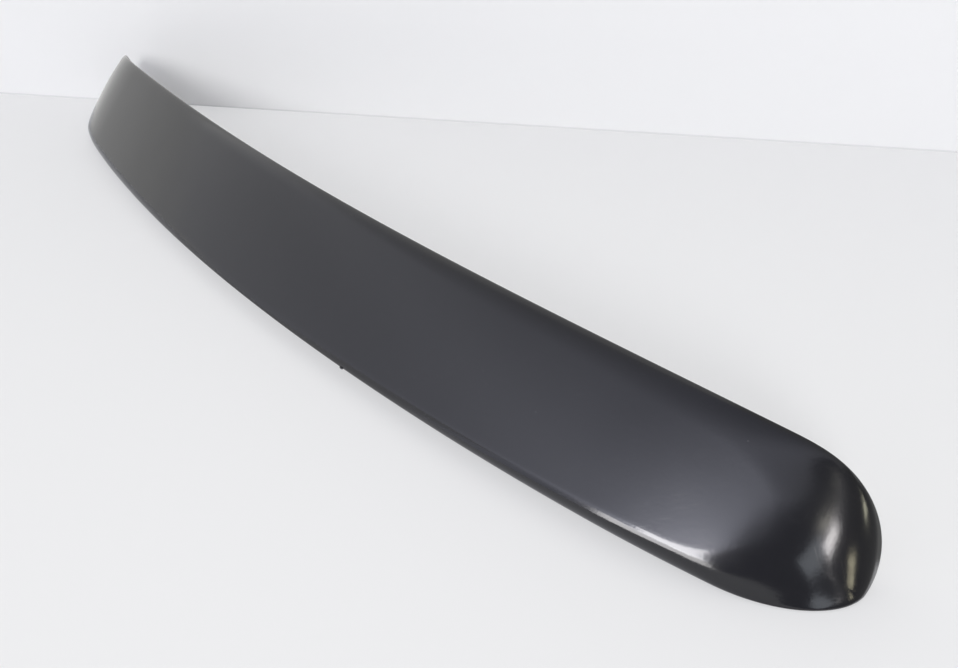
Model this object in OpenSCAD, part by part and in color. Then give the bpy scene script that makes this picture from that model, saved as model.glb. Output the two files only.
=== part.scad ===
// Rear roof spoiler: one moulded crescent shell with rolled edges and curled ends.
// The shell lies as it rests on a level surface: its trailing rim and both end rims
// stand in the plane z = 0, and the strip leans back from there.
// X runs across the car, Y from the trailing edge to the leading edge, Z is up.

/* [Shell] */
// Length from end to end, across the car
shell_len = 1150; // [1000:10:1300]
// Depth of the strip from trailing to leading edge, at mid length
strip_depth = 124; // [112:1:145]
// Thickness of the moulded wall
wall = 3.5; // [2.5:0.1:4.2]
// Height of the gentle crown between the two edges
crown = 1.5; // [0:0.5:5]
// Lean of the strip from the plane that its rim stands in, in degrees
lean = 49; // [44:0.5:52]

/* [Plan shape] */
// How far the trailing edge sweeps forward towards its ends
trail_sweep = 30; // [22:0.5:38]
// Extra forward sweep of the trailing edge close to its ends
trail_hook = 9.5; // [0:0.5:14]
// How far the leading edge sweeps forward towards its ends
lead_sweep = 29.5; // [20:0.5:38]
// How much the leading edge eases back close to its ends
lead_ease = 7; // [0:0.5:12]
// Length of the rounded trailing corner
trail_corner_len = 72.5; // [60:0.5:100]
// Depth of the rounded trailing corner
trail_corner_depth = 31.5; // [26:0.5:40]
// Length of the rounded leading corner
lead_corner_len = 79; // [60:1:100]
// How late the leading corner sets in: 2 is an ellipse, more starts later
lead_corner_onset = 3.5; // [2:0.1:4]
// How bluntly the leading corner closes at the tip: 2 is an ellipse, less is more pointed
lead_corner_close = 1.4; // [1.3:0.1:2]

/* [Ends] */
// Length over which each end curls down
curl_len = 170; // [140:5:230]
// Drop of the curl at the tip
curl_drop = 41; // [28:0.5:44]
// How softly the curl sets in: 2 is a parabola, more starts more gently
curl_power = 2.5; // [2:0.1:3]
// Length of the dome that closes each tip
tip_roll = 55; // [35:1:65]
// Length over which the flat of the strip narrows towards each tip
top_corner_len = 60; // [45:1:80]

/* [Edges] */
// Radius with which the edges leave the strip
edge_radius = 70; // [40:5:110]
// Width of the rounded trailing edge at mid length
trail_roll_mid = 10; // [7:1:20]
// Width of the rounded trailing edge towards the ends
trail_roll_end = 17; // [12:1:28]
// Width of the rounded leading edge at mid length
lead_roll_mid = 14; // [8:1:24]
// Width of the rounded leading edge towards the ends
lead_roll_end = 28; // [18:1:34]

/* [Rims] */
// Depth of the trailing rim below the strip
trail_rim = 28; // [26:0.5:34]
// Depth of the leading rim below the strip
lead_rim = 6; // [5.5:0.5:12]
// Straight height that is left under the rounds at least
rim_land = 1; // [0.5:0.1:1.5]

/* [Hidden] */
// Facets: stations along the length, steps over each rounded edge, steps across the strip
stations = 104;
roll_steps = 6;
strip_steps = 6;
edge_rows = roll_steps + 1;
rows = 2*edge_rows + strip_steps;
half_len = shell_len/2;
half_depth_mid = strip_depth/2;
// Depth of the leading corner, which meets the trailing corner at the tip
lead_corner_depth = lead_edge(1) - trail_edge(1) - trail_corner_depth;
// Half the depth that the flat of the strip still has where its corners meet
tip_t = 1 - tip_roll/half_len;
tip_half = (lead_edge(tip_t) - trail_edge(tip_t) - trail_roll_end - lead_roll_end)/2;
// Width of the rim band that stands on the surface
rim_band = wall/cos(lean);

// The two edges before their corners are rounded; t is x over half the length
function trail_edge(t) = trail_sweep*pow(t, 2) + trail_hook*pow(t, 4);
function lead_edge(t) = strip_depth + lead_sweep*pow(t, 2) - lead_ease*pow(t, 4);

// 0 along the straight part of an edge, rising as a superellipse to 1 at the tip;
// q runs from -1 to 1 along the length
function rounding(q, corner_len, onset = 2, close = 2) =
    let (t = max(0, 1 - (1 - abs(q))*half_len/corner_len))
    1 - pow(max(0, 1 - pow(t, onset)), 1/close);
function trail_round(q) = rounding(q, trail_corner_len);
function lead_round(q) = rounding(q, lead_corner_len, lead_corner_onset, lead_corner_close);

// Rim outline, on which the shell ends, at depth w in the wall
function trail_rim_y(q) = trail_edge(q) + trail_corner_depth*trail_round(q);
function lead_rim_y(q) = lead_edge(q) - lead_corner_depth*lead_round(q);
function taper(q) = max(0, min(1, (lead_rim_y(q) - trail_rim_y(q))/strip_depth));
function rim_at(q, trailing, w) = [
    q*(half_len - w),
    trailing ? trail_rim_y(q) + w*taper(q) : lead_rim_y(q) - w*taper(q)
];

// Top outline, from which the edges turn down
function trail_roll(q) = trail_roll_mid + (trail_roll_end - trail_roll_mid)*pow(q, 2);
function lead_roll(q) = lead_roll_mid + (lead_roll_end - lead_roll_mid)*pow(q, 2);
function top_at(q, trailing) =
    let (x = q*(half_len - tip_roll), t = x/half_len, inset = tip_half*rounding(q, top_corner_len))
    [x, trailing ? trail_edge(t) + trail_roll(q) + inset : lead_edge(t) - lead_roll(q) - inset];

// The lateral arch keeps the trailing rim in one plane, and the curl closes the ends
function curl_t(x) = max(0, (abs(x) - half_len + curl_len)/curl_len);
function arch_drop(x) = tan(lean)*trail_edge(x/half_len) + curl_drop*pow(curl_t(x), curl_power);
function arch_slope(x) =
    let (t = abs(x)/half_len)
    tan(lean)*(2*trail_sweep*t + 4*trail_hook*pow(t, 3))/half_len
    + curl_power*curl_drop*pow(curl_t(x), curl_power - 1)/curl_len;

// Height of the outer face, and of a skin at depth w in the wall under it
function face_z(x, y) =
    let (t = x/half_len, middle = (trail_edge(t) + lead_edge(t))/2)
    crown*(1 - pow((y - middle)/half_depth_mid, 2)) - arch_drop(x);
function skin_z(x, y, w) = face_z(x, y) - w*sqrt(1 + pow(arch_slope(x), 2));

// Height of the standing plane, seen from the strip
function stand_z(y) = -trail_rim - tan(lean)*y;

// Rim level: the standing plane where down is 1, and close under the face where it is 0
function rim_z(x, y, down) = (face_z(x, y) - lead_rim)*(1 - down) + stand_z(y)*down;

// A point of an edge. Step 0 is on the top outline, the steps up to roll_steps follow a
// quarter ellipse, and one step more is straight down on the rim. The ellipse is as high
// as its width squared over the edge radius, and less where the rim is near.
function edge_point(q, trailing, step, w) =
    let (
        top = top_at(q, trailing),
        rim = rim_at(q, trailing, w),
        down = trailing ? 1 : lead_round(q),
        angle = 90*min(1, step/roll_steps),
        x = top.x + (rim.x - top.x)*sin(angle),
        y = top.y + (rim.y - top.y)*sin(angle),
        level = rim_z(x, y, down),
        room = skin_z(x, y, w) - level - rim_land,
        drop = pow(norm(rim - top), 2)/edge_radius,
        height = room*drop/norm([room, drop])
    )
    [x, y, step > roll_steps ? level : skin_z(x, y, w) - height*(1 - cos(angle))];

function strip_point(q, v, w) =
    let (
        low = top_at(q, true),
        high = top_at(q, false),
        y = low.y + (high.y - low.y)*v
    )
    [low.x, y, skin_z(low.x, y, w)];

// One point of a skin: station i along the length, row j from the trailing rim to the
// leading rim. At depth w = 0 it is the outer face, at w = wall the hollow back.
function skin_point(i, j, w) =
    let (q = sin(180*i/stations - 90))
    j <= edge_rows ? edge_point(q, true, edge_rows - j, w)
    : j < edge_rows + strip_steps ? strip_point(q, (j - edge_rows)/strip_steps, w)
    : edge_point(q, false, j - edge_rows - strip_steps, w);

// At the first and last station the rows fold onto each other, so they share points
function shared_row(j) = min(j, rows - j, edge_rows);
function at_tip(i) = i == 0 || i == stations;
function index(i, j) = i*(rows + 1) + (at_tip(i) ? shared_row(j) : j);

// Corner lists of one face, outer and inner, and of the rim band between them
function outer_quad(i, j) = [index(i, j), index(i, j + 1), index(i + 1, j + 1), index(i + 1, j)];
function inner_quad(i, j, skip) = [for (k = [3:-1:0]) outer_quad(i, j)[k] + skip];
function rim_quad(i, j, skip) =
    [index(i, j), index(i + 1, j), index(i + 1, j) + skip, index(i, j) + skip];
function flip(quad) = [for (k = [3:-1:0]) quad[k]];

// Two triangles from each quad, leaving out a triangle with two corners alike
function triangles(quads) = [
    for (q = quads, t = [[q[0], q[1], q[2]], [q[0], q[2], q[3]]])
        if (t[0] != t[1] && t[1] != t[2] && t[2] != t[0]) t
];

module spoiler_shell() {
    skip = (stations + 1)*(rows + 1);
    points = [
        for (w = [0, wall], i = [0:stations], j = [0:rows]) skin_point(i, j, w)
    ];
    quads = concat(
        [for (i = [0:stations - 1], j = [0:rows - 1]) outer_quad(i, j)],
        [for (i = [0:stations - 1], j = [0:rows - 1]) inner_quad(i, j, skip)],
        [for (i = [0:stations - 1]) rim_quad(i, 0, skip)],
        [for (i = [0:stations - 1]) flip(rim_quad(i, rows, skip))]
    );
    color([0.22, 0.22, 0.23])
        translate([0, -trail_rim*sin(lean) - rim_band/2, trail_rim*cos(lean)])
            rotate([lean, 0, 0])
                polyhedron(points = points, faces = triangles(quads));
}

spoiler_shell();
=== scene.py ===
import math

import bmesh
import bpy
import numpy as np
from mathutils import Matrix, Quaternion, Vector


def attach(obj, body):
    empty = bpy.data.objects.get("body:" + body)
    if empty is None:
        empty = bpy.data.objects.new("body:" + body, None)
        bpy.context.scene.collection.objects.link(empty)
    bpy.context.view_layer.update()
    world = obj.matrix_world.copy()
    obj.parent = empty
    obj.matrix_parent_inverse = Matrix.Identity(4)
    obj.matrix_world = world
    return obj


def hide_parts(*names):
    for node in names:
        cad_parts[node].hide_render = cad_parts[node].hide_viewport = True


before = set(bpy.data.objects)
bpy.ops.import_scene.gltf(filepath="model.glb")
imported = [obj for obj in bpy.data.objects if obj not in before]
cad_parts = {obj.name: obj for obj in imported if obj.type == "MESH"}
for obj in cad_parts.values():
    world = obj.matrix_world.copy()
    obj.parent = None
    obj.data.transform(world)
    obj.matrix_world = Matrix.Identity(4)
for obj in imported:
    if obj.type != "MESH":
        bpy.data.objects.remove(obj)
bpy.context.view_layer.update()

# Sizes of the shell, in metres, as the part has them
SHELL_LEN = 1.150
STRIP_DEPTH = 0.1240
WALL = 0.0035
CROWN = 0.0015
LEAN = math.radians(49.0)
TRAIL_SWEEP = 0.0300
TRAIL_HOOK = 0.0095
LEAD_SWEEP = 0.0295
LEAD_EASE = 0.0070
TRAIL_CORNER_LEN = 0.0725
TRAIL_CORNER_DEPTH = 0.0315
LEAD_CORNER_LEN = 0.0790
LEAD_CORNER_ONSET = 3.5
LEAD_CORNER_CLOSE = 1.4
CURL_LEN = 0.1700
CURL_DROP = 0.0410
CURL_POWER = 2.5
TIP_ROLL = 0.0550
TOP_CORNER_LEN = 0.0600
TRAIL_RIM = 0.0280
LEAD_RIM = 0.0060
TRAIL_ROLL_MID = 0.0100
TRAIL_ROLL_END = 0.0170
LEAD_ROLL_MID = 0.0140
LEAD_ROLL_END = 0.0280
EDGE_RADIUS = 0.0700
RIM_LAND = 0.0010

# Worked out from the sizes
HALF_LEN = SHELL_LEN/2
HALF_DEPTH = STRIP_DEPTH/2
SLANT = math.tan(LEAN)
RIM_BAND = WALL/math.cos(LEAN)

# Fineness of the surface
STATIONS = 640
OUTER_ROLL_STEPS = 26
OUTER_STRIP_STEPS = 30
INNER_ROLL_STEPS = 12
FOOT_STEPS = 3
INNER_STRIP_STEPS = 12
LIP_ROUND = 0.0003
LIP_STEPS = 4
MERGE_REACH = 1e-6

# A crumb of moulding flash on the trailing edge, its half sizes, and the distance from the
# rim that it is given, which is past the reach of the rubbed edges
FLASH_PLACE = (0.1615, -0.0174, 0.0160)
FLASH_SIZE = (0.0022, 0.0011, 0.0012)
FLASH_FROM_RIM = 0.01

# A faint round mark on the near end: its middle, its radius, and the distances from the ring
# over which it sets in
RING_PLACE = (0.5272, 0.0830, 0.0578)
RING_RADIUS = 0.0066
RING_EDGE = (0.0007, 0.0002)
RING_LOW_SIDE = (0.002, -0.002)
RING_BREAKS = 330.0

# Finish of the face: linear colours of clean plastic and of what is worn pale, the roughness
# of clean plastic and what haze adds, and the heights of ripple, grain and scratches
FACE_BLACK = (0.0070, 0.0070, 0.0086, 1)
FACE_PALE = (0.16, 0.16, 0.155, 1)
FACE_ROUGH = 0.135
FACE_HAZE = 0.05
FACE_IOR = 1.52
FACE_RIPPLE = 0.00022
FACE_GRAIN = 0.00003
SCRATCH_DEPTH = 0.000007

# How much paler and rougher the face is where it is scratched, and where dusty or rubbed,
# and how far from the rim it is rubbed
SCRATCH_PALE = 0.042
SCRATCH_ROUGH = 0.090
WORN_PALE = 0.30
WORN_ROUGH = 0.35
RUB_REACH = 0.0016

# Scratches that run along the face, and fewer that cross it
LONG_SCRATCHES = {"Turn": -0.52, "Length": 0.080, "Spacing": 0.0016, "Width": 0.09,
                  "Share": 0.9, "Wander": 0.010, "Seed": 3.0}
CROSS_SCRATCHES = {"Turn": 0.9, "Length": 0.060, "Spacing": 0.0040, "Width": 0.04,
                   "Share": 0.25, "Wander": 0.02, "Seed": 11.0}
FACE_DUST = {"Spacing": 0.004, "Size": 0.10, "Share": 0.12}

# Finish of the back
BACK_BLACK = (0.0150, 0.0150, 0.0165, 1)
BACK_PALE = (0.14, 0.14, 0.135, 1)
BACK_ROUGH = 0.40
BACK_HAZE = 0.12
BACK_RIPPLE = 0.0006
BACK_GRAIN = 0.00004
BACK_DUST_PALE = 0.3
BACK_DUST = {"Spacing": 0.008, "Size": 0.05, "Share": 0.5}

# Camera, as the photograph was taken
CAMERA_PLACE = (0.6935, -0.3296, 0.4799)
CAMERA_PITCH = 0.6176
CAMERA_HEADING = -0.8493
CAMERA_ROLL = -0.0096
CAMERA_LENS = 33.82
CAMERA_SENSOR = 36

# Wall behind the shell: a point on its foot, and the way it faces
WALL_FOOT = (-0.7333, 0.0202)
WALL_FACING = math.radians(141.76)

# Stage: half its width, the height of the wall, and how far the floor runs ahead of the wall
# and behind it
STAGE_HALF = 4.0
WALL_TALL = 0.4
FLOOR_AHEAD = 6
FLOOR_BEHIND = 3

# Paint of the stage, its plain colour to the camera and in reflections, and how much of it
# the camera sees as plain
STAGE_PAINT = (0.80, 0.80, 0.795, 1)
STAGE_ROUGH = 0.9
STAGE_SPECULAR = 0.1
STAGE_PLAIN = (0.83, 0.83, 0.835, 1)
MIRRORED_PLAIN = (1.0, 1.0, 0.99, 1)
FLOOR_PLAIN_SHARE = 0.55
WALL_PLAIN_SHARE = 0.30
BLACK = (0.0, 0.0, 0.0, 1)
FLOOR_SPECKS = {"Spacing": 0.05, "Size": 0.028, "Share": 0.30}
FLOOR_SPECK_DARK = 0.35
WALL_FOOT_LINE = (0.0030, 0.0010, 0.0, 0.15)

# Where the floor ends in reflections, in metres. Each pair is where the end sets in and
# where it is complete: past a slanted line, to the right, by the near tip, by the leading
# corner and in front
FLOOR_END_WAY = (0.766, -0.643)
FLOOR_END_SLANTED = (0.445, 0.505)
FLOOR_END_RIGHT = (0.607, 0.613)
FLOOR_END_TIP = ((0.574, 0.580), (0.04, 0.06))
FLOOR_END_CORNER = ((0.50, 0.53), (0.13, 0.15))
FLOOR_END_FRONT = ((0.20, 0.30), (-0.025, -0.035))

# Light: linear level of white paper, the plain world that the camera sees, and a point at
# either end of the shell, which the lamps face
WHITE = 0.83
WORLD_PLAIN = (0.83, 0.83, 0.84, 1)
NEAR_END = (0.45, 0.10, 0.05)
FAR_END = (-0.50, 0.10, 0.10)

# Bearings in degrees are round from +Y towards +X. Left and right are as the camera sees
# them. A range gives the degrees at which a step begins and ends, and then its two levels
# where they aren't 0 and 1. First the pale dome, which fades with height and has a band
LAMP_BEARING = 164.0
DOME_FADE = (30, 60, 1.08, 0.76)
BAND_RISE = (20, 28)
BAND_FALL = (37, 29)
BAND_LEVEL = 0.24
LEFT_SIDE = (5, 45)
RIGHT_LEVEL = 0.66
FAR_SIDE = (72, 100)
FAR_LEVEL = 0.45
MATT_DOME = 1.2
TINT_FADE = (25, 110)
TINT_LAMP = (0.92, 0.94, 1.10, 1)
TINT_AWAY = (1.0, 1.0, 0.99, 1)

# The glow round the front lamp: its height, how far it is stretched to the right, to the
# left and upwards, the radius of its even core, the radius at which it has its level, and
# the degrees over which it falls by e
LAMP_HEIGHT = 12.0
GLOW_RIGHT = 1.5
GLOW_LEFT = 1.15
GLOW_TALL = 0.9
GLOW_CORE = 14.0
GLOW_RADIUS = 15.0
GLOW_FALL = 11.0
GLOW_LEVEL = 5.3

# The dark patch where the camera stands: its middle bearing, half width, top, the power that
# squares its corners, and its soft edge as a share of its size
PATCH_BEARING = 118.0
PATCH_HALF = 34.0
PATCH_TOP = 29.5
PATCH_POWER = 5.0
PATCH_EDGE = (0.93, 1.07)

# The dim room: the bearing that its two sides are told from, its sides and its top, where
# the sky ends below, where it doesn't, and the level of what is dim
ROOM_BEARING = 60
ROOM_START = (-80, -90)
ROOM_END = (40, 48)
ROOM_TOP = (16, 24)
SKY_FOOT = (-6, 0)
SKY_NO_FOOT = (-5, 15)
DIM_LEVEL = 0.29

# Key lamp: bearing and height in degrees, distance and size in metres, brightness
KEY_WAY = (131, 21)
KEY_DISTANCE = 6.0
KEY_SIZE = (1.3, 1.3)
KEY_STRENGTH = 36.0

# Lamps that the glossy face mirrors: bearing, height, and width and height in degrees,
# brightness, colour, and turn in degrees about the lamp's own axis
MIRROR_DISTANCE = 1.6
MIRROR_LAMPS = {
    "front_lamp": (LAMP_BEARING + 1.0, 9.5, (24, 23), 14.0, (1.0, 0.98, 0.98), 0),
    "front_lamp_low": (170, -18, (38, 36), 9.0, (1.0, 0.98, 0.98), 0),
    "right_lamp": (93.5, 9.5, (9.5, 5.6), 17.0, (1.0, 0.97, 0.97), 35),
    "right_lamp_upper": (96.5, 16, (8, 3.2), 5.0, (1.0, 0.97, 0.82), -10),
    "right_lamp_tail": (106, 6.5, (17, 9), 2.1, (0.86, 0.92, 1.0), 28),
    "warm_lamp_high": (60.7, 0.6, (7, 2.4), 12.0, (1.0, 0.97, 0.74), 0),
    "warm_lamp_low": (80, -2.5, (6, 2.0), 9.0, (1.0, 0.93, 0.66), -30),
}


def sweep(t, first, last):
    """Forward sweep of an edge: first times t squared plus last times t to the fourth."""
    return first*t**2 + last*t**4


def trail_edge(t):
    """Trailing edge before its corners are rounded, at t = x over half the length."""
    return sweep(t, TRAIL_SWEEP, TRAIL_HOOK)


def lead_edge(t):
    """Leading edge before its corners are rounded, at t = x over half the length."""
    return STRIP_DEPTH + sweep(t, LEAD_SWEEP, -LEAD_EASE)


def rounding(q, corner_len, onset=2.0, close=2.0):
    """0 along the straight part of an edge, rising as a superellipse to 1 at the tip:
    1 less the close-th root of 1 - t to the onset. With both powers 2 it is an ellipse."""
    t = np.maximum(0, 1 - (1 - np.abs(q))*HALF_LEN/corner_len)
    return 1 - np.maximum(0, 1 - t**onset)**(1/close)


def curl_reach(x):
    """How far x lies into the curl: 0 where it begins, 1 at the tip."""
    return np.maximum(0, (np.abs(x) - HALF_LEN + CURL_LEN)/CURL_LEN)


def arch_drop(x):
    """Drop of the strip along its length: the arch that keeps the trailing rim in one
    plane, plus a power curve that curls the ends down."""
    return SLANT*trail_edge(x/HALF_LEN) + CURL_DROP*curl_reach(x)**CURL_POWER


def arch_slope(x):
    """Slope of the arch: the derivative of its drop."""
    t = np.abs(x)/HALF_LEN
    arch = SLANT*(2*TRAIL_SWEEP*t + 4*TRAIL_HOOK*t**3)/HALF_LEN
    curl = CURL_POWER*CURL_DROP*curl_reach(x)**(CURL_POWER - 1)/CURL_LEN
    return arch + curl


def face_height(x, y):
    """Height of the outer face: a parabolic crown across the strip, less the arch."""
    t = x/HALF_LEN
    middle = (trail_edge(t) + lead_edge(t))/2
    return CROWN*(1 - ((y - middle)/HALF_DEPTH)**2) - arch_drop(x)


def skin(roll_steps, strip_steps, depth):
    """One skin of the wall as a grid of rows by stations, at a depth below the outer face.

    Stations are spaced by the sine of an angle, so they close up towards both tips. Each
    edge turns down as a quarter ellipse from the top outline to the rim outline, as high as
    its width squared over the edge radius and less where the rim is near, and then runs
    straight down. The strip spans the two top outlines in even steps."""
    q = np.sin(np.linspace(-math.pi/2, math.pi/2, STATIONS + 1))
    end_depth = lead_edge(1) - trail_edge(1)
    lead_down = rounding(q, LEAD_CORNER_LEN, LEAD_CORNER_ONSET, LEAD_CORNER_CLOSE)
    trail_up = rounding(q, TRAIL_CORNER_LEN)
    trail_rim_y = trail_edge(q) + TRAIL_CORNER_DEPTH*trail_up
    lead_rim_y = lead_edge(q) - (end_depth - TRAIL_CORNER_DEPTH)*lead_down
    taper = np.clip((lead_rim_y - trail_rim_y)/STRIP_DEPTH, 0, 1)
    rim_x = q*(HALF_LEN - depth)

    top_x = q*(HALF_LEN - TIP_ROLL)
    top_t = top_x/HALF_LEN
    trail_roll = TRAIL_ROLL_MID + (TRAIL_ROLL_END - TRAIL_ROLL_MID)*q**2
    lead_roll = LEAD_ROLL_MID + (LEAD_ROLL_END - LEAD_ROLL_MID)*q**2
    tip_t = 1 - TIP_ROLL/HALF_LEN
    tip_half = (lead_edge(tip_t) - trail_edge(tip_t) - TRAIL_ROLL_END - LEAD_ROLL_END)/2
    top_round = tip_half*rounding(q, TOP_CORNER_LEN)
    trail_top_y = trail_edge(top_t) + trail_roll + top_round
    lead_top_y = lead_edge(top_t) - lead_roll - top_round

    def rolled(top_y, rim_y, angle, rim_height):
        x = top_x + (rim_x - top_x)*np.sin(angle)
        y = top_y + (rim_y - top_y)*np.sin(angle)
        top = face_height(x, y) - depth*np.sqrt(1 + arch_slope(x)**2)
        room = top - rim_height(x, y) - RIM_LAND
        drop = ((rim_x - top_x)**2 + (rim_y - top_y)**2)/EDGE_RADIUS
        turn_height = room*drop/np.hypot(room, drop)
        return x, y, top - turn_height*(1 - np.cos(angle))

    def foot(low, rim_y, rim_height):
        """Straight wall from the end of a round down to its rim, in even steps."""
        down = np.linspace(0, 1, FOOT_STEPS + 1)[1:, None]
        level = low + (rim_height(rim_x, rim_y) - low)*down
        return np.broadcast_to(rim_x, level.shape), np.broadcast_to(rim_y, level.shape), level

    def stand(x, y):
        return -TRAIL_RIM - SLANT*y

    def lead_rim(x, y):
        return (face_height(x, y) - LEAD_RIM)*(1 - lead_down) + stand(x, y)*lead_down

    turn = np.linspace(math.pi/2, 0, roll_steps + 1)[:, None]
    v = np.linspace(0, 1, strip_steps + 1)[1:-1, None]
    strip_y = trail_top_y + (lead_top_y - trail_top_y)*v
    strip_x = np.broadcast_to(top_x, strip_y.shape)
    strip_z = face_height(strip_x, strip_y) - depth*np.sqrt(1 + arch_slope(strip_x)**2)
    trail_in = trail_rim_y + depth*taper
    lead_in = lead_rim_y - depth*taper
    low = rolled(trail_top_y, trail_in, turn, stand)
    high = rolled(lead_top_y, lead_in, turn[::-1], lead_rim)
    low_foot = [part[::-1] for part in foot(low[2][0], trail_in, stand)]
    high_foot = foot(high[2][-1], lead_in, lead_rim)
    strip = (strip_x, strip_y, strip_z)
    rows = [np.concatenate(part) for part in zip(low_foot, low, strip, high, high_foot)]
    return to_rest(np.stack(rows, axis=-1))


def to_rest(points):
    """Turn the strip back by its lean about X, and set its trailing rim down on z = 0."""
    x, y, z = np.moveaxis(points, -1, 0)
    forward = y*math.cos(LEAN) - z*math.sin(LEAN) - TRAIL_RIM*math.sin(LEAN) - RIM_BAND/2
    height = y*math.sin(LEAN) + z*math.cos(LEAN) + TRAIL_RIM*math.cos(LEAN)
    return np.stack([x, forward, height], axis=-1)


def unit(vectors):
    """Each vector over its own length, with a zero vector left as it is."""
    length = np.linalg.norm(vectors, axis=-1, keepdims=True)
    return vectors/np.maximum(length, 1e-12)


def lip(outer, outer_above, inner, inner_above):
    """The rim band between two skins, with both of its corners turned as small quarter
    rounds: each starts along its skin and ends along the band."""
    across = unit(inner - outer)
    up_outer = unit(outer_above - outer)
    up_inner = unit(inner_above - inner)
    turn = np.linspace(0, math.pi/2, LIP_STEPS + 1)[:, None, None]
    first = outer + LIP_ROUND*(up_outer*(1 - np.sin(turn)) + across*(1 - np.cos(turn)))
    last = inner + LIP_ROUND*(up_inner*(1 - np.sin(turn)) - across*(1 - np.cos(turn)))
    return np.concatenate([first, last[::-1]])


def way_across(rows):
    """Way of each point of a skin from the trailing rim, summed along its section."""
    steps = np.linalg.norm(np.diff(rows, axis=0), axis=-1)
    return np.concatenate([np.zeros((1, rows.shape[1])), np.cumsum(steps, axis=0)])


def rim_distance(rows):
    """Distance of each point of a skin from the nearer of its two rims, along the section."""
    up = way_across(rows)
    return np.minimum(up, up[-1] - up)


def place_on_skin(rows):
    """Where each point of a skin lies on it: its way along the middle row from one tip, and
    its way across from the trailing rim."""
    middle = rows[len(rows)//2]
    along = np.concatenate([[0], np.cumsum(np.linalg.norm(np.diff(middle, axis=0), axis=-1))])
    across = way_across(rows)
    along = np.broadcast_to(along, across.shape)
    return np.stack([along, across, np.zeros(across.shape)], axis=-1)


def closed_sections():
    """The whole shell as closed sections: outer skin, leading lip, inner skin, trailing
    lip. The skins give up their rim rows, which the lips replace."""
    outer = skin(OUTER_ROLL_STEPS, OUTER_STRIP_STEPS, 0.0)
    inner = skin(INNER_ROLL_STEPS, INNER_STRIP_STEPS, WALL)
    lead_lip = lip(outer[-1], outer[-2], inner[-1], inner[-2])
    trail_lip = lip(outer[0], outer[1], inner[0], inner[1])
    on_lip = np.zeros(lead_lip.shape[:2])
    parts = [outer[1:-1], lead_lip, inner[-2:0:-1], trail_lip[::-1]]
    from_rim = [rim_distance(outer)[1:-1], on_lip, rim_distance(inner)[-2:0:-1], on_lip]
    face, back = place_on_skin(outer), place_on_skin(inner)
    on_lead_lip = np.repeat(face[-1:], len(lead_lip), axis=0)
    on_trail_lip = np.repeat(face[:1], len(trail_lip), axis=0)
    on_skin = [face[1:-1], on_lead_lip, back[-2:0:-1], on_trail_lip]
    back_rows = (len(parts[0]) + len(lead_lip), len(parts[2]))
    return np.concatenate(parts), np.concatenate(from_rim), np.concatenate(on_skin), back_rows


def add_flash(work):
    """A crumb of moulding flash on the trailing edge: a small closed ellipsoid."""
    place = Matrix.Translation(FLASH_PLACE) @ Matrix.Diagonal((*FLASH_SIZE, 1))
    made = bmesh.ops.create_icosphere(work, subdivisions=3, radius=1.0, matrix=place)
    rim_layer = work.verts.layers.float["from_rim"]
    for vert in made["verts"]:
        vert[rim_layer] = FLASH_FROM_RIM
        for face in vert.link_faces:
            face.smooth = True


def put_attribute(mesh, name, kind, field, values):
    """An attribute on the points of a mesh, filled from an array."""
    layer = mesh.attributes.new(name, kind, "POINT")
    layer.data.foreach_set(field, values.ravel().astype(np.float32))


def build_shell():
    """Quads between neighbouring rows and stations, all round each section. The two tips
    are closed by merging the rows that fold onto each other there."""
    points, from_rim, on_skin, (back_start, back_len) = closed_sections()
    row_count, station_count = points.shape[:2]
    row, station = np.meshgrid(np.arange(row_count), np.arange(station_count - 1), indexing="ij")
    after = (row + 1) % row_count
    quads = np.stack([
        row*station_count + station,
        row*station_count + station + 1,
        after*station_count + station + 1,
        after*station_count + station,
    ], axis=-1).reshape(-1, 4)
    on_back = (row >= back_start) & (row < back_start + back_len - 1)

    mesh = bpy.data.meshes.new("spoiler_shell_fine")
    mesh.from_pydata(points.reshape(-1, 3), [], quads.tolist())
    mesh.polygons.foreach_set("material_index", on_back.ravel().astype(np.int32))
    mesh.polygons.foreach_set("use_smooth", np.ones(len(quads), dtype=bool))
    put_attribute(mesh, "from_rim", "FLOAT", "value", from_rim)
    put_attribute(mesh, "on_skin", "FLOAT_VECTOR", "vector", on_skin)
    work = bmesh.new()
    work.from_mesh(mesh)
    bmesh.ops.remove_doubles(work, verts=work.verts, dist=MERGE_REACH)
    add_flash(work)
    work.to_mesh(mesh)
    work.free()
    mesh.update()
    shell = bpy.data.objects.new("moulded_shell", mesh)
    bpy.context.scene.collection.objects.link(shell)
    return shell


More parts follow.
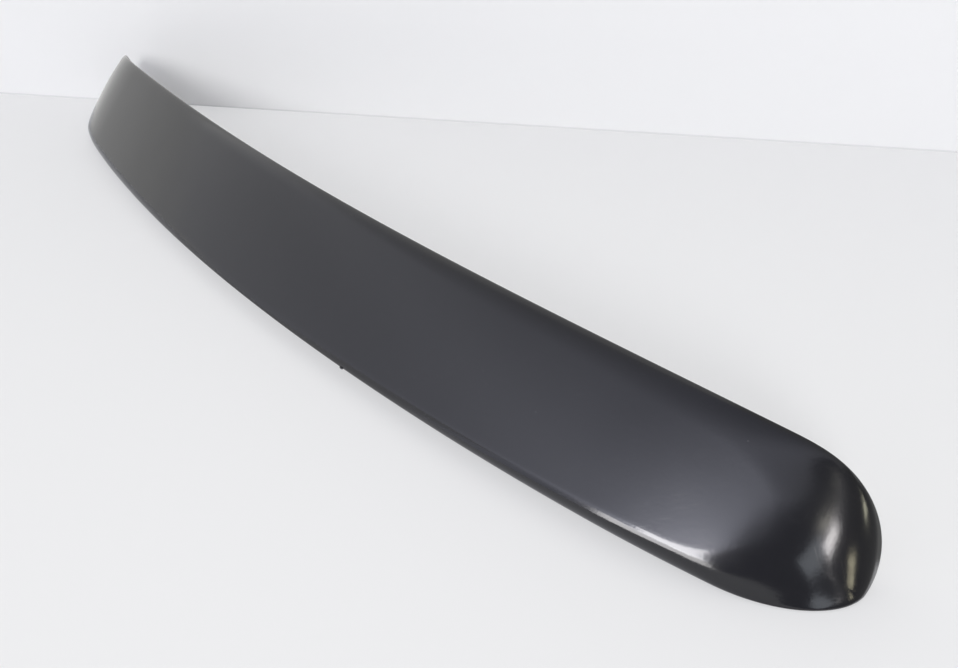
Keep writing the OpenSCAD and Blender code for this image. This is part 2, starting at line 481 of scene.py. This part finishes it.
class Nodes:
    """Short calls for building a node tree."""

    def __init__(self, tree):
        self.tree = tree

    def add(self, kind, settings=None, **inputs):
        """A node with its settings, its sockets given by name: a value, or a socket to
        link. An underscore in a name stands for a space."""
        node = self.tree.nodes.new(kind)
        for name, value in (settings or {}).items():
            setattr(node, name, value)
        for name, value in inputs.items():
            self.feed(node.inputs[name.replace("_", " ")], value)
        return node

    def feed(self, socket, value):
        """Give a socket a value, or link another socket to it."""
        if isinstance(value, bpy.types.NodeSocket):
            self.tree.links.new(value, socket)
        else:
            socket.default_value = value

    def math(self, operation, *values):
        """A math node. With more than two values it is a chain of nodes, from the left."""
        if len(values) > 2:
            values = (self.math(operation, *values[:-1]), values[-1])
        node = self.tree.nodes.new("ShaderNodeMath")
        node.operation = operation
        for socket, value in zip(node.inputs, values):
            self.feed(socket, value)
        return node.outputs[0]

    def vector(self, operation, *values):
        node = self.tree.nodes.new("ShaderNodeVectorMath")
        node.operation = operation
        for socket, value in zip(node.inputs, values):
            self.feed(socket, value)
        return node.outputs["Vector"]

    def ease(self, value, low, high, start=0.0, end=1.0):
        """A smooth step of value from low to high, put out as start to end."""
        node = self.add("ShaderNodeMapRange", {"interpolation_type": "SMOOTHSTEP"}, Value=value,
                        From_Min=low, From_Max=high, To_Min=start, To_Max=end)
        return node.outputs["Result"]

    def noise(self, place, scale, detail=2.0):
        node = self.add("ShaderNodeTexNoise", Vector=place, Scale=scale, Detail=detail)
        return node.outputs[0]

    def blend(self, share, first, second):
        """Colour between first and second, by a share from 0 to 1."""
        node = self.tree.nodes.new("ShaderNodeMix")
        node.data_type = "RGBA"
        self.feed(node.inputs["Factor"], share)
        self.feed(node.inputs[6], first)
        self.feed(node.inputs[7], second)
        return node.outputs[2]

    def bump(self, height, distance, under=None, invert=False):
        """Normal of a bumped surface, over the normal of the bump under it."""
        node = self.add("ShaderNodeBump", {"invert": invert}, Height=height, Distance=distance,
                        Strength=1.0)
        if under is not None:
            self.feed(node.inputs["Normal"], under)
        return node.outputs[0]

    def mix_shaders(self, share, first, second):
        """Shader between first and second, by a share from 0 to 1."""
        node = self.add("ShaderNodeMixShader", Fac=share)
        self.feed(node.inputs[1], first)
        self.feed(node.inputs[2], second)
        return node.outputs[0]

    def use(self, group, **inputs):
        """A node group with its inputs, given in the same way."""
        return self.add("ShaderNodeGroup", {"node_tree": group}, **inputs).outputs


def new_group(name, inputs, outputs):
    """A node group with named sockets. Inputs are name: value, where None is a place."""
    tree = bpy.data.node_groups.new(name, "ShaderNodeTree")
    for label, value in inputs.items():
        kind = "NodeSocketVector" if value is None else "NodeSocketFloat"
        socket = tree.interface.new_socket(name=label, in_out="INPUT", socket_type=kind)
        if value is not None:
            socket.default_value = value
    for label in outputs:
        tree.interface.new_socket(name=label, in_out="OUTPUT", socket_type="NodeSocketFloat")
    n = Nodes(tree)
    return n, n.add("NodeGroupInput").outputs, n.add("NodeGroupOutput").inputs


def scratch_group():
    """Fine scratches on a skin: the cores of long thin flat cells, which lie along the skin
    turned by an angle. A core is kept where the share of cells and a broad noise allow it,
    and a slow wander bends it."""
    bend_scale, patch_scale = 24.0, 40.0
    patch_range = (0.42, 0.58)
    core_share = 0.3
    inputs = {"Place": None, "Turn": 0.0, "Length": 0.1, "Spacing": 0.004, "Width": 0.1,
              "Share": 0.5, "Wander": 0.004, "Seed": 0.0}
    n, given, out = new_group("fine_scratches", inputs, ["Mask"])
    place, width, seed = given["Place"], given["Width"], given["Seed"]
    slow = n.add("ShaderNodeTexNoise", Vector=place, Scale=bend_scale, Detail=1.0)
    centred = n.vector("SUBTRACT", slow.outputs["Color"], (0.5, 0.5, 0.5))
    wander = n.add("ShaderNodeVectorMath", {"operation": "SCALE"}, Scale=given["Wander"])
    n.feed(wander.inputs[0], centred)
    bent = n.vector("ADD", place, wander.outputs[0])
    turned = n.add("ShaderNodeVectorRotate", {"rotation_type": "Z_AXIS"}, Vector=bent,
                   Angle=given["Turn"])
    stretch = n.add("ShaderNodeCombineXYZ", X=given["Length"], Y=given["Spacing"], Z=1.0)
    shift = n.add("ShaderNodeCombineXYZ", X=seed, Y=seed)
    flattened = n.vector("DIVIDE", turned.outputs[0], stretch.outputs[0])
    cells = n.add("ShaderNodeTexVoronoi", {"voronoi_dimensions": "2D"}, Scale=1.0,
                  Vector=n.vector("ADD", flattened, shift.outputs[0]))
    core = n.ease(cells.outputs["Distance"], width, n.math("MULTIPLY", width, core_share))
    pick = n.add("ShaderNodeSeparateColor", Color=cells.outputs["Color"]).outputs[0]
    kept = n.math("LESS_THAN", pick, given["Share"])
    patches = n.ease(n.noise(place, patch_scale), *patch_range)
    n.feed(out["Mask"], n.math("MULTIPLY", core, kept, patches))
    return n.tree


def speck_group():
    """Dust and small pits: a dot in the middle of some cells, each with its own size, from
    a fifth of the given one to all of it."""
    smallest, edge_share = 0.2, 0.6
    inputs = {"Place": None, "Spacing": 0.01, "Size": 0.05, "Share": 0.5}
    n, given, out = new_group("dust_specks", inputs, ["Mask"])
    scale = n.math("DIVIDE", 1.0, given["Spacing"])
    cells = n.add("ShaderNodeTexVoronoi", Vector=given["Place"], Scale=scale)
    parts = n.add("ShaderNodeSeparateColor", Color=cells.outputs["Color"]).outputs
    own_size = n.math("ADD", n.math("MULTIPLY", parts[1], 1 - smallest), smallest)
    radius = n.math("MULTIPLY", given["Size"], own_size)
    dot = n.ease(cells.outputs["Distance"], radius, n.math("MULTIPLY", radius, edge_share))
    kept = n.math("LESS_THAN", parts[0], given["Share"])
    n.feed(out["Mask"], n.math("MULTIPLY", dot, kept))
    return n.tree


def moulding_group():
    """Unevenness of a moulded face: Ripple is broad and soft, Grain is fine, and Haze says
    where the gloss has gone duller."""
    haze_scale, haze_detail = 14.0, 5.0
    haze_range = (0.35, 0.70)
    inputs = {"Place": None, "Ripple Size": 0.06, "Grain Size": 0.002}
    n, given, out = new_group("moulding", inputs, ["Ripple", "Grain", "Haze"])
    ripple_scale = n.math("DIVIDE", 1.0, given["Ripple Size"])
    grain_scale = n.math("DIVIDE", 1.0, given["Grain Size"])
    haze = n.noise(given["Place"], haze_scale, haze_detail)
    n.feed(out["Ripple"], n.noise(given["Place"], ripple_scale, 1.0))
    n.feed(out["Grain"], n.noise(given["Place"], grain_scale, 2.0))
    n.feed(out["Haze"], n.ease(haze, *haze_range))
    return n.tree


def rub_group():
    """Rubbed edges: 1 on a rim, gone at a given reach from it, and broken up by a noise."""
    break_scale, break_detail = 260.0, 3.0
    break_range = (0.36, 0.62, 0.25, 1.0)
    inputs = {"Place": None, "From Rim": 0.0, "Reach": 0.001}
    n, given, out = new_group("edge_rub", inputs, ["Mask"])
    near = n.ease(given["From Rim"], given["Reach"], 0.0)
    broken = n.ease(n.noise(given["Place"], break_scale, break_detail), *break_range)
    n.feed(out["Mask"], n.math("MULTIPLY", near, broken))
    return n.tree


def new_material(name):
    """A material with nodes, its short calls, its own shader and its place in metres."""
    material = bpy.data.materials.new(name)
    material.use_nodes = True
    n = Nodes(material.node_tree)
    shader = material.node_tree.nodes["Principled BSDF"]
    return material, n, shader, n.add("ShaderNodeTexCoord").outputs["Object"]


def ring_mark(n, place):
    """One faint round mark near the end: a thin ring on the face, open towards the top and
    broken up by a noise."""
    break_range = (0.35, 0.65, 0.0, 0.45)
    away = n.vector("SUBTRACT", place, RING_PLACE)
    far = n.add("ShaderNodeVectorMath", {"operation": "LENGTH"})
    n.feed(far.inputs[0], away)
    from_ring = n.math("ABSOLUTE", n.math("SUBTRACT", far.outputs["Value"], RING_RADIUS))
    above = n.add("ShaderNodeSeparateXYZ", Vector=away).outputs[2]
    ring = n.math("MULTIPLY", n.ease(from_ring, *RING_EDGE), n.ease(above, *RING_LOW_SIDE))
    return n.math("MULTIPLY", ring, n.ease(n.noise(place, RING_BREAKS), *break_range))


def make_gloss(groups):
    """The face: satin to glossy black, moulded in one colour. Broad ripple, fine grain,
    scratches and dust break up what it reflects, and its rims are rubbed paler."""
    material, n, shader, place = new_material("black_plastic")
    moulding = n.use(groups["moulding"], Place=place, Ripple_Size=0.055, Grain_Size=0.0022)
    on_skin = n.add("ShaderNodeAttribute", {"attribute_name": "on_skin"}).outputs["Vector"]
    from_rim = n.add("ShaderNodeAttribute", {"attribute_name": "from_rim"}).outputs["Fac"]
    along = n.use(groups["scratches"], Place=on_skin, **LONG_SCRATCHES)["Mask"]
    crossing = n.use(groups["scratches"], Place=on_skin, **CROSS_SCRATCHES)["Mask"]
    marks = n.math("MAXIMUM", along, crossing, ring_mark(n, place))
    dust = n.use(groups["specks"], Place=place, **FACE_DUST)["Mask"]
    rub = n.use(groups["rub"], Place=place, From_Rim=from_rim, Reach=RUB_REACH)["Mask"]

    dust_pale = n.math("MULTIPLY", dust, WORN_PALE)
    rub_pale = n.math("MULTIPLY", rub, WORN_PALE)
    pale = n.math("ADD", n.math("MULTIPLY", marks, SCRATCH_PALE), n.math("ADD", dust_pale, rub_pale))
    clean_rough = n.math("ADD", n.math("MULTIPLY", moulding["Haze"], FACE_HAZE), FACE_ROUGH)
    worn_rough = n.math("MULTIPLY", n.math("MAXIMUM", dust, rub), WORN_ROUGH)
    added_rough = n.math("ADD", n.math("MULTIPLY", marks, SCRATCH_ROUGH), worn_rough)
    broad = n.bump(moulding["Ripple"], FACE_RIPPLE)
    fine = n.bump(moulding["Grain"], FACE_GRAIN, under=broad)
    n.feed(shader.inputs["Base Color"], n.blend(pale, FACE_BLACK, FACE_PALE))
    n.feed(shader.inputs["Roughness"], n.math("ADD", clean_rough, added_rough))
    n.feed(shader.inputs["Normal"], n.bump(marks, SCRATCH_DEPTH, under=fine, invert=True))
    shader.inputs["IOR"].default_value = FACE_IOR
    return material


def make_back(groups):
    """The hollow back: the same plastic, left matt and a little paler by the mould."""
    material, n, shader, place = new_material("black_plastic_back")
    moulding = n.use(groups["moulding"], Place=place, Ripple_Size=0.09, Grain_Size=0.0009)
    dust = n.use(groups["specks"], Place=place, **BACK_DUST)["Mask"]
    pale = n.math("MULTIPLY", dust, BACK_DUST_PALE)
    rough = n.math("ADD", n.math("MULTIPLY", moulding["Haze"], BACK_HAZE), BACK_ROUGH)
    broad = n.bump(moulding["Ripple"], BACK_RIPPLE)
    n.feed(shader.inputs["Base Color"], n.blend(pale, BACK_BLACK, BACK_PALE))
    n.feed(shader.inputs["Roughness"], rough)
    n.feed(shader.inputs["Normal"], n.bump(moulding["Grain"], BACK_GRAIN, under=broad))
    return material


class Sky:
    """The directions of the world, told by bearing and height in degrees, and the levels of
    light that come from them."""

    def __init__(self, n):
        way = n.add("ShaderNodeTexCoord").outputs["Generated"]
        self.n = n
        self.x, self.y, z = n.add("ShaderNodeSeparateXYZ", Vector=way).outputs
        self.height = n.math("MULTIPLY", n.math("ARCSINE", z), 180/math.pi)
        self.front = self.bearing(LAMP_BEARING)

    def bearing(self, centre):
        """Angle round from a heading, in degrees from -180 to 180."""
        n, c, s = self.n, math.cos(math.radians(centre)), math.sin(math.radians(centre))
        side = n.math("SUBTRACT", n.math("MULTIPLY", self.x, c), n.math("MULTIPLY", self.y, s))
        ahead = n.math("ADD", n.math("MULTIPLY", self.x, s), n.math("MULTIPLY", self.y, c))
        return n.math("MULTIPLY", n.math("ARCTAN2", side, ahead), 180/math.pi)

    def dome(self, is_mirrored):
        """The pale dome: it fades with height and has a brighter band on the left, is even
        on the right, brighter at the far side, and a little brighter for matt surfaces."""
        n = self.n
        band = n.math("MULTIPLY", n.ease(self.height, *BAND_RISE), n.ease(self.height, *BAND_FALL))
        faded = n.ease(self.height, *DOME_FADE)
        left_dome = n.math("ADD", faded, n.math("MULTIPLY", band, BAND_LEVEL))
        far_side = n.math("MULTIPLY", n.ease(self.front, *FAR_SIDE), FAR_LEVEL)
        left_share = n.ease(self.front, *LEFT_SIDE)
        right_dome = n.math("MULTIPLY", n.math("SUBTRACT", 1.0, left_share), RIGHT_LEVEL)
        left_dome = n.math("MULTIPLY", left_dome, left_share)
        level = n.math("ADD", left_dome, n.math("ADD", right_dome, far_side))
        return n.math("MULTIPLY", level, n.ease(is_mirrored, 0, 1, MATT_DOME, 1.0))

    def glow(self, is_mirrored):
        """The glow round the front lamp, in reflections alone: even in its core, and falling
        as e to the power of the distance from it."""
        n = self.n
        sideways = n.math("MAXIMUM", n.math("DIVIDE", self.front, GLOW_LEFT),
                          n.math("DIVIDE", self.front, -GLOW_RIGHT))
        upward = n.math("DIVIDE", n.math("SUBTRACT", self.height, LAMP_HEIGHT), GLOW_TALL)
        squares = n.math("ADD", n.math("POWER", sideways, 2.0), n.math("POWER", upward, 2.0))
        reach = n.math("MAXIMUM", n.math("SQRT", squares), GLOW_CORE)
        falls = n.math("DIVIDE", n.math("SUBTRACT", GLOW_RADIUS, reach), GLOW_FALL)
        return n.math("MULTIPLY", n.math("EXPONENT", falls), GLOW_LEVEL, is_mirrored)

    def clear(self):
        """1 where the sky is open, 0 in the dark patch, in the dim room and below."""
        n = self.n
        across = n.math("DIVIDE", self.bearing(PATCH_BEARING), PATCH_HALF)
        across = n.math("POWER", n.math("ABSOLUTE", across), PATCH_POWER)
        upward = n.math("MAXIMUM", n.math("DIVIDE", self.height, PATCH_TOP), 0.0)
        upward = n.math("POWER", upward, PATCH_POWER)
        from_patch = n.math("POWER", n.math("ADD", across, upward), 1/PATCH_POWER)
        from_room = self.bearing(ROOM_BEARING)
        past_room = n.math("MAXIMUM", n.ease(self.height, *ROOM_TOP),
                           n.ease(from_room, *ROOM_START), n.ease(from_room, *ROOM_END))
        above = n.math("MAXIMUM", n.ease(self.height, *SKY_FOOT), n.ease(self.front, *SKY_NO_FOOT))
        return n.math("MULTIPLY", n.ease(from_patch, *PATCH_EDGE), past_room, above)

    def tint(self):
        """Cooler towards the front lamp."""
        n = self.n
        away = n.ease(n.math("ABSOLUTE", self.front), *TINT_FADE)
        return n.blend(away, TINT_LAMP, TINT_AWAY)


def make_world():
    """Light from all round: a dome and the glow of the front lamp where the sky is clear, a
    dim level elsewhere, and plain white paper where the camera looks straight at it."""
    world = bpy.data.worlds.new("studio")
    bpy.context.scene.world = world
    world.use_nodes = True
    world.node_tree.nodes.clear()
    n = Nodes(world.node_tree)
    sky = Sky(n)
    ray = n.add("ShaderNodeLightPath").outputs
    is_mirrored = ray["Is Glossy Ray"]
    clear = sky.clear()
    lit = n.math("ADD", sky.dome(is_mirrored), sky.glow(is_mirrored))
    open_sky = n.math("MULTIPLY", lit, clear)
    dim = n.math("MULTIPLY", n.math("SUBTRACT", 1.0, clear), DIM_LEVEL)
    level = n.math("MULTIPLY", n.math("ADD", open_sky, dim), WHITE)
    light = n.add("ShaderNodeBackground", Color=sky.tint(), Strength=level)
    plain = n.add("ShaderNodeBackground", Color=WORLD_PLAIN, Strength=1.0)
    seen = n.mix_shaders(ray["Is Camera Ray"], light.outputs[0], plain.outputs[0])
    n.add("ShaderNodeOutputWorld", Surface=seen)


def heading(azimuth, elevation):
    """Unit vector of a bearing: 0 is along +Y, 90 along +X."""
    a, e = math.radians(azimuth), math.radians(elevation)
    return np.array([math.sin(a)*math.cos(e), math.cos(a)*math.cos(e), math.sin(e)])


def add_lamp(name, place, aim, size, strength, colour=(1, 1, 1), turn=0.0, in_mirror=True):
    """A rectangular lamp at a place, which faces another. Its strength is the brightness of
    its face, so its power is that times its area and pi. It either shows in reflections and
    lights nothing matt, or the other way round. turn is in degrees about its own axis."""
    data = bpy.data.lights.new(name, "AREA")
    data.shape = "RECTANGLE"
    data.size, data.size_y = size
    data.color = colour
    data.energy = strength*size[0]*size[1]*math.pi
    lamp = bpy.data.objects.new(name, data)
    lamp.location = place
    facing = (Vector(aim) - Vector(place)).to_track_quat("-Z", "Y")
    lamp.rotation_euler = (facing @ Quaternion((0, 0, 1), math.radians(turn))).to_euler()
    bpy.context.scene.collection.objects.link(lamp)
    lamp.visible_camera = False
    lamp.visible_glossy = in_mirror
    lamp.visible_diffuse = not in_mirror


def build_lamps():
    """A key lamp low at the front, which casts the shadows, and the lamps that are seen in
    the near end of the shell, each at its bearing and height from there."""
    key = np.array(FAR_END) + heading(*KEY_WAY)*KEY_DISTANCE
    add_lamp("key_lamp", key, FAR_END, KEY_SIZE, KEY_STRENGTH, in_mirror=False)
    for name, (azimuth, elevation, spans, strength, colour, turn) in MIRROR_LAMPS.items():
        place = np.array(NEAR_END) + heading(azimuth, elevation)*MIRROR_DISTANCE
        size = [2*MIRROR_DISTANCE*math.tan(math.radians(span)/2) for span in spans]
        add_lamp(name, place, NEAR_END, size, strength, colour, turn)


def finish_stage(material, n, shader, ray, dark, plain_share, gone):
    """A matt white, darkened by a share. A share of it is plain colour, so that the shadows
    stay light, and where gone is 1 it is see-through."""
    n.feed(shader.inputs["Base Color"], n.blend(dark, STAGE_PAINT, BLACK))
    shader.inputs["Roughness"].default_value = STAGE_ROUGH
    shader.inputs["Specular IOR Level"].default_value = STAGE_SPECULAR
    bare = n.blend(ray["Is Glossy Ray"], STAGE_PLAIN, MIRRORED_PLAIN)
    plain = n.add("ShaderNodeEmission", Color=n.blend(dark, bare, BLACK), Strength=1.0)
    lit = n.mix_shaders(plain_share, shader.outputs[0], plain.outputs[0])
    nothing = n.add("ShaderNodeBsdfTransparent").outputs[0]
    surface = material.node_tree.nodes["Material Output"].inputs["Surface"]
    n.feed(surface, n.mix_shaders(gone, lit, nothing))
    return material


def make_wall_white():
    """The wall: a thin shade runs along its foot, it is plain white in reflections, and it is
    see-through from behind."""
    material, n, shader, place = new_material("wall_white")
    ray = n.add("ShaderNodeLightPath").outputs
    height = n.add("ShaderNodeSeparateXYZ", Vector=place).outputs[2]
    share = n.math("MULTIPLY", ray["Is Camera Ray"], WALL_PLAIN_SHARE)
    share = n.math("MAXIMUM", share, ray["Is Glossy Ray"])
    behind = n.add("ShaderNodeNewGeometry").outputs["Backfacing"]
    return finish_stage(material, n, shader, ray, n.ease(height, *WALL_FOOT_LINE), share, behind)


def make_floor_white(specks):
    """The floor: it has a few specks, and is see-through from below. In reflections it stops
    just outside the photograph, where the bare studio begins."""
    material, n, shader, place = new_material("floor_white")
    ray = n.add("ShaderNodeLightPath").outputs
    x, y, _ = n.add("ShaderNodeSeparateXYZ", Vector=place).outputs

    def past_both(ends):
        """1 past an end along x and an end along y."""
        return n.math("MULTIPLY", n.ease(x, *ends[0]), n.ease(y, *ends[1]))

    marks = n.use(specks, Place=place, **FLOOR_SPECKS)["Mask"]
    slanted = n.math("ADD", n.math("MULTIPLY", x, FLOOR_END_WAY[0]),
                     n.math("MULTIPLY", y, FLOOR_END_WAY[1]))
    past = n.math("MAXIMUM", n.ease(slanted, *FLOOR_END_SLANTED), n.ease(x, *FLOOR_END_RIGHT),
                  past_both(FLOOR_END_TIP), past_both(FLOOR_END_CORNER),
                  past_both(FLOOR_END_FRONT))
    behind = n.add("ShaderNodeNewGeometry").outputs["Backfacing"]
    gone = n.math("MAXIMUM", behind, n.math("MULTIPLY", past, ray["Is Glossy Ray"]))
    dark = n.math("MULTIPLY", marks, FLOOR_SPECK_DARK)
    share = n.math("MULTIPLY", ray["Is Camera Ray"], FLOOR_PLAIN_SHARE)
    return finish_stage(material, n, shader, ray, dark, share, gone)


def add_sheet(name, corners, material):
    """A flat sheet of one quad, which belongs to the stage."""
    mesh = bpy.data.meshes.new(name)
    mesh.from_pydata([tuple(corner) for corner in corners], [], [(0, 1, 2, 3)])
    mesh.materials.append(material)
    sheet = bpy.data.objects.new(name, mesh)
    bpy.context.scene.collection.objects.link(sheet)


def build_stage(specks):
    """A white wall behind the far tip, and a white floor that runs on behind the wall."""
    foot = np.array([*WALL_FOOT, 0.0])
    out = np.array([math.sin(WALL_FACING), math.cos(WALL_FACING), 0.0])
    along = np.array([out[1], -out[0], 0.0])*STAGE_HALF
    start, end = foot - along, foot + along
    back, ahead = -out*FLOOR_BEHIND, out*FLOOR_AHEAD
    rise = np.array([0, 0, WALL_TALL])
    add_sheet("floor", [start + back, end + back, end + ahead, start + ahead],
              make_floor_white(specks))
    add_sheet("wall", [start + rise, end + rise, end, start], make_wall_white())


def build_camera():
    """The camera, headed, pitched down and rolled as the photograph was taken."""
    p, h, r = CAMERA_PITCH, CAMERA_HEADING, CAMERA_ROLL
    ahead = Vector((math.sin(h)*math.cos(p), math.cos(h)*math.cos(p), -math.sin(p)))
    right = Vector((math.cos(h), -math.sin(h), 0))
    up = right.cross(ahead)
    side = right*math.cos(r) + up*math.sin(r)
    top = up*math.cos(r) - right*math.sin(r)
    data = bpy.data.cameras.new("camera")
    data.lens = CAMERA_LENS
    data.sensor_width = CAMERA_SENSOR
    camera = bpy.data.objects.new("camera", data)
    camera.matrix_world = Matrix((
        (side.x, top.x, -ahead.x, CAMERA_PLACE[0]),
        (side.y, top.y, -ahead.y, CAMERA_PLACE[1]),
        (side.z, top.z, -ahead.z, CAMERA_PLACE[2]),
        (0, 0, 0, 1),
    ))
    bpy.context.scene.collection.objects.link(camera)
    bpy.context.scene.camera = camera


groups = {
    "scratches": scratch_group(),
    "specks": speck_group(),
    "moulding": moulding_group(),
    "rub": rub_group(),
}
build_camera()
build_stage(groups["specks"])
make_world()
shell = build_shell()
shell.data.materials.append(make_gloss(groups))
shell.data.materials.append(make_back(groups))
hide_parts("spoiler_shell")
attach(shell, "root")
build_lamps()
bpy.context.scene.view_settings.view_transform = "Standard"
